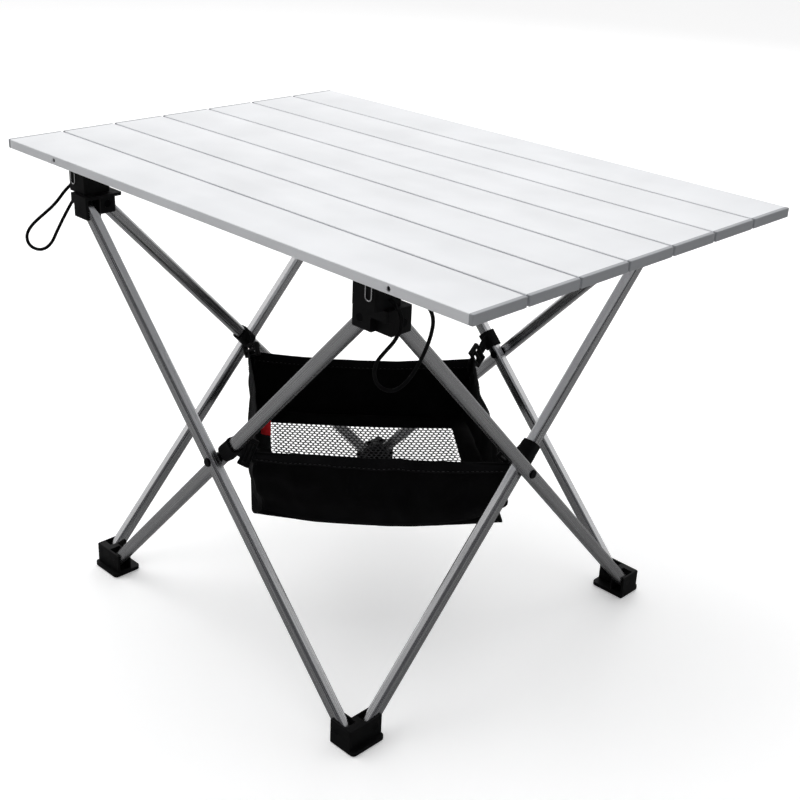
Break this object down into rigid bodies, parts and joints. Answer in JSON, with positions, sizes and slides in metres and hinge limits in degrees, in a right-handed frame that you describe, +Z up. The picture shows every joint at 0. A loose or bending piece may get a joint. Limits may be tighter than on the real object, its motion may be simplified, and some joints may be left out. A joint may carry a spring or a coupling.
{
  "type": "camp kitchen table",
  "caption": "Low folding camp table: aluminium slat top that rolls up, a square four-sided scissor frame of bright tubes with black corner joints, and a hung fabric basket with a mesh floor.",
  "frame": {"origin": "on the ground under the middle of the table top", "axes": "+X along the slats, +Y across them towards the rear slat, +Z up"},
  "size_m": [0.56, 0.4102, 0.4086],
  "materials": {
    "slat": "fine matt anodised",
    "end_cap": "satin silver",
    "frame_tube": "bright satin anodised",
    "moulded_black": "moulded nylon",
    "rivet": "dark plated",
    "wire": "bright spring wire",
    "basket_fabric": "black woven polyester",
    "basket_mesh": "black knitted net",
    "webbing": "black webbing",
    "elastic_cord": "braided elastic"
  },
  "bodies": {
    "foot_se": {"foot_se": "moulded_black", "foot_pins_se": "rivet"},
    "foot_sw": {"foot_sw": "moulded_black", "foot_pins_sw": "rivet"},
    "foot_ne": {"foot_ne": "moulded_black", "foot_pins_ne": "rivet"},
    "foot_nw": {"foot_nw": "moulded_black", "foot_pins_nw": "rivet"},
    "hub_sw": {"hub_sw": "moulded_black", "hub_pins_sw": "rivet"},
    "hub_se": {"hub_se": "moulded_black", "hub_pins_se": "rivet"},
    "hub_ne": {"hub_ne": "moulded_black", "hub_pins_ne": "rivet"},
    "hub_nw": {"hub_nw": "moulded_black", "hub_pins_nw": "rivet"},
    "tube_south_outer": {"tube_south_outer": "frame_tube", "cross_rivet_south": "rivet"},
    "tube_south_inner": {"tube_south_inner": "frame_tube"},
    "tube_east_outer": {"tube_east_outer": "frame_tube", "cross_rivet_east": "rivet"},
    "tube_east_inner": {"tube_east_inner": "frame_tube"},
    "tube_north_outer": {"tube_north_outer": "frame_tube", "cross_rivet_north": "rivet"},
    "tube_north_inner": {"tube_north_inner": "frame_tube"},
    "tube_west_outer": {"tube_west_outer": "frame_tube", "cross_rivet_west": "rivet"},
    "tube_west_inner": {"tube_west_inner": "frame_tube"},
    "slat_1": {"slat_1": "slat", "slat_1_end_caps": "end_cap", "brackets_front": "moulded_black", "latch_wires_front": "wire", "cord_loop_sw": "elastic_cord", "cord_loop_se": "elastic_cord"},
    "slat_2": {"slat_2": "slat", "slat_2_end_caps": "end_cap"},
    "slat_3": {"slat_3": "slat", "slat_3_end_caps": "end_cap"},
    "slat_4": {"slat_4": "slat", "slat_4_end_caps": "end_cap", "shock_cords": "elastic_cord"},
    "slat_5": {"slat_5": "slat", "slat_5_end_caps": "end_cap"},
    "slat_6": {"slat_6": "slat", "slat_6_end_caps": "end_cap"},
    "slat_7": {"slat_7": "slat", "slat_7_end_caps": "end_cap", "brackets_rear": "moulded_black", "latch_wires_rear": "wire"},
    "basket_south": {"corner_strap_south": "webbing", "basket_wall_south_east": "basket_fabric"},
    "basket_east": {"corner_strap_east": "webbing", "basket_wall_north_east": "basket_fabric"},
    "basket_north": {"corner_strap_north": "webbing", "basket_wall_north_west": "basket_fabric"},
    "basket_west": {"corner_strap_west": "webbing", "basket_wall_south_west": "basket_fabric"},
    "floor_south_east": {"basket_floor_south_east": "basket_mesh"},
    "floor_north_west": {"basket_floor_north_west": "basket_mesh"}
  },
  "joints": [
    {"name": "frame_fold", "type": "hinge", "parent": "foot_se", "child": "tube_south_outer", "pos_m": [0.1665, -0.1866, 0.015], "axis": [0, 1, 0], "range_deg": [0, 40.91], "deforming": ["corner_strap_south", "corner_strap_east", "corner_strap_north", "corner_strap_west", "basket_wall_south_east", "basket_wall_north_east", "basket_wall_north_west", "basket_wall_south_west", "basket_floor_south_east", "basket_floor_north_west"]},
    {"name": "cross_pivot_south", "type": "hinge", "parent": "tube_south_outer", "child": "tube_south_inner", "pos_m": [0, -0.181, 0.1925], "axis": [0, 1, 0], "range_deg": [-81.83, 0]},
    {"name": "hub_sw_level", "type": "hinge", "parent": "tube_south_outer", "child": "hub_sw", "pos_m": [-0.1665, -0.1866, 0.37], "axis": [0, 1, 0], "range_deg": [-40.91, 0]},
    {"name": "hub_se_level", "type": "hinge", "parent": "tube_south_inner", "child": "hub_se", "pos_m": [0.1665, -0.1754, 0.37], "axis": [0, 1, 0], "range_deg": [0, 40.91]},
    {"name": "foot_sw_level", "type": "hinge", "parent": "tube_south_inner", "child": "foot_sw", "pos_m": [-0.1665, -0.1754, 0.015], "axis": [0, 1, 0], "range_deg": [0, 40.91]},
    {"name": "foot_se_inner_tube", "type": "hinge", "parent": "foot_se", "child": "tube_east_inner", "pos_m": [0.1754, -0.1665, 0.015], "axis": [1, 0, 0], "range_deg": [0, 40.91]},
    {"name": "cross_pivot_east", "type": "hinge", "parent": "tube_east_inner", "child": "tube_east_outer", "pos_m": [0.181, 0, 0.1925], "axis": [1, 0, 0], "range_deg": [-81.83, 0]},
    {"name": "hub_ne_level", "type": "hinge", "parent": "tube_east_inner", "child": "hub_ne", "pos_m": [0.1754, 0.1665, 0.37], "axis": [1, 0, 0], "range_deg": [-40.91, 0]},
    {"name": "foot_ne_level", "type": "hinge", "parent": "tube_east_outer", "child": "foot_ne", "pos_m": [0.1866, 0.1665, 0.015], "axis": [1, 0, 0], "range_deg": [0, 40.91]},
    {"name": "hub_ne_outer_tube", "type": "hinge", "parent": "hub_ne", "child": "tube_north_outer", "pos_m": [0.1665, 0.1866, 0.37], "axis": [0, 1, 0], "range_deg": [-40.91, 0]},
    {"name": "cross_pivot_north", "type": "hinge", "parent": "tube_north_outer", "child": "tube_north_inner", "pos_m": [0, 0.181, 0.1925], "axis": [0, 1, 0], "range_deg": [0, 81.83]},
    {"name": "foot_nw_level", "type": "hinge", "parent": "tube_north_outer", "child": "foot_nw", "pos_m": [-0.1665, 0.1866, 0.015], "axis": [0, 1, 0], "range_deg": [0, 40.91]},
    {"name": "hub_nw_level", "type": "hinge", "parent": "tube_north_inner", "child": "hub_nw", "pos_m": [-0.1665, 0.1754, 0.37], "axis": [0, 1, 0], "range_deg": [-40.91, 0]},
    {"name": "hub_sw_inner_tube", "type": "hinge", "parent": "hub_sw", "child": "tube_west_inner", "pos_m": [-0.1754, -0.1665, 0.37], "axis": [1, 0, 0], "range_deg": [-40.91, 0]},
    {"name": "cross_pivot_west", "type": "hinge", "parent": "tube_west_inner", "child": "tube_west_outer", "pos_m": [-0.181, 0, 0.1925], "axis": [1, 0, 0], "range_deg": [0, 81.83]},
    {"name": "strap_south_level", "type": "hinge", "parent": "tube_south_outer", "child": "basket_south", "pos_m": [0, -0.181, 0.1925], "axis": [0, 1, 0], "range_deg": [-40.91, 0]},
    {"name": "strap_east_level", "type": "hinge", "parent": "tube_east_inner", "child": "basket_east", "pos_m": [0.181, 0, 0.1925], "axis": [1, 0, 0], "range_deg": [-40.91, 0]},
    {"name": "strap_north_level", "type": "hinge", "parent": "tube_north_outer", "child": "basket_north", "pos_m": [0, 0.181, 0.1925], "axis": [0, 1, 0], "range_deg": [0, 40.91]},
    {"name": "strap_west_level", "type": "hinge", "parent": "tube_west_inner", "child": "basket_west", "pos_m": [-0.181, 0, 0.1925], "axis": [1, 0, 0], "range_deg": [0, 40.91]},
    {"name": "floor_fold_south_east", "type": "hinge", "parent": "basket_south", "child": "floor_south_east", "pos_m": [0.0855, -0.0725, 0.1225], "axis": [0.7204, 0.6936, 0], "range_deg": [-88, 0]},
    {"name": "floor_fold_north_west", "type": "hinge", "parent": "basket_north", "child": "floor_north_west", "pos_m": [-0.088, 0.0685, 0.1225], "axis": [-0.7005, -0.7136, 0], "range_deg": [-88, 0]},
    {"name": "top_lift", "type": "slide", "parent": "hub_se", "child": "slat_4", "axis": [0, 0, 1], "range_m": [0, 0.3722]},
    {"name": "slat_roll", "type": "hinge", "parent": "slat_4", "child": "slat_3", "pos_m": [0, -0.02792, 0.4086], "axis": [-1, 0, 0], "range_deg": [0, 50], "deforming": ["shock_cords"]},
    {"name": "slat_roll_3_2", "type": "hinge", "parent": "slat_3", "child": "slat_2", "pos_m": [0, -0.08378, 0.4086], "axis": [-1, 0, 0], "range_deg": [0, 50.01]},
    {"name": "slat_roll_2_1", "type": "hinge", "parent": "slat_2", "child": "slat_1", "pos_m": [0, -0.13962, 0.4086], "axis": [-1, 0, 0], "range_deg": [0, 50.01]},
    {"name": "slat_roll_4_5", "type": "hinge", "parent": "slat_4", "child": "slat_5", "pos_m": [0, 0.02792, 0.4086], "axis": [1, 0, 0], "range_deg": [0, 50.01]},
    {"name": "slat_roll_5_6", "type": "hinge", "parent": "slat_5", "child": "slat_6", "pos_m": [0, 0.08378, 0.4086], "axis": [1, 0, 0], "range_deg": [0, 50.01]},
    {"name": "slat_roll_6_7", "type": "hinge", "parent": "slat_6", "child": "slat_7", "pos_m": [0, 0.13962, 0.4086], "axis": [1, 0, 0], "range_deg": [0, 50.01]}
  ],
  "couplings": [
    {"joint": "cross_pivot_south", "follows": "frame_fold", "ratio": -2},
    {"joint": "hub_sw_level", "follows": "frame_fold", "ratio": -1},
    {"joint": "hub_se_level", "follows": "frame_fold", "ratio": 1},
    {"joint": "foot_sw_level", "follows": "frame_fold", "ratio": 1},
    {"joint": "foot_se_inner_tube", "follows": "frame_fold", "ratio": 1},
    {"joint": "cross_pivot_east", "follows": "frame_fold", "ratio": -2},
    {"joint": "hub_ne_level", "follows": "frame_fold", "ratio": -1},
    {"joint": "foot_ne_level", "follows": "frame_fold", "ratio": 1},
    {"joint": "hub_ne_outer_tube", "follows": "frame_fold", "ratio": -1},
    {"joint": "cross_pivot_north", "follows": "frame_fold", "ratio": 2},
    {"joint": "foot_nw_level", "follows": "frame_fold", "ratio": 1},
    {"joint": "hub_nw_level", "follows": "frame_fold", "ratio": -1},
    {"joint": "hub_sw_inner_tube", "follows": "frame_fold", "ratio": -1},
    {"joint": "cross_pivot_west", "follows": "frame_fold", "ratio": 2},
    {"joint": "strap_south_level", "follows": "frame_fold", "ratio": -1},
    {"joint": "strap_east_level", "follows": "frame_fold", "ratio": -1},
    {"joint": "strap_north_level", "follows": "frame_fold", "ratio": 1},
    {"joint": "strap_west_level", "follows": "frame_fold", "ratio": 1},
    {"joint": "floor_fold_south_east", "follows": "frame_fold", "ratio": -2.127},
    {"joint": "floor_fold_north_west", "follows": "frame_fold", "ratio": -2.127},
    {"joint": "top_lift", "follows": "frame_fold", "m_per_rad": 0.52},
    {"joint": "slat_roll_3_2", "follows": "slat_roll", "ratio": 1},
    {"joint": "slat_roll_2_1", "follows": "slat_roll", "ratio": 1},
    {"joint": "slat_roll_4_5", "follows": "slat_roll", "ratio": 1},
    {"joint": "slat_roll_5_6", "follows": "slat_roll", "ratio": 1},
    {"joint": "slat_roll_6_7", "follows": "slat_roll", "ratio": 1}
  ]
}
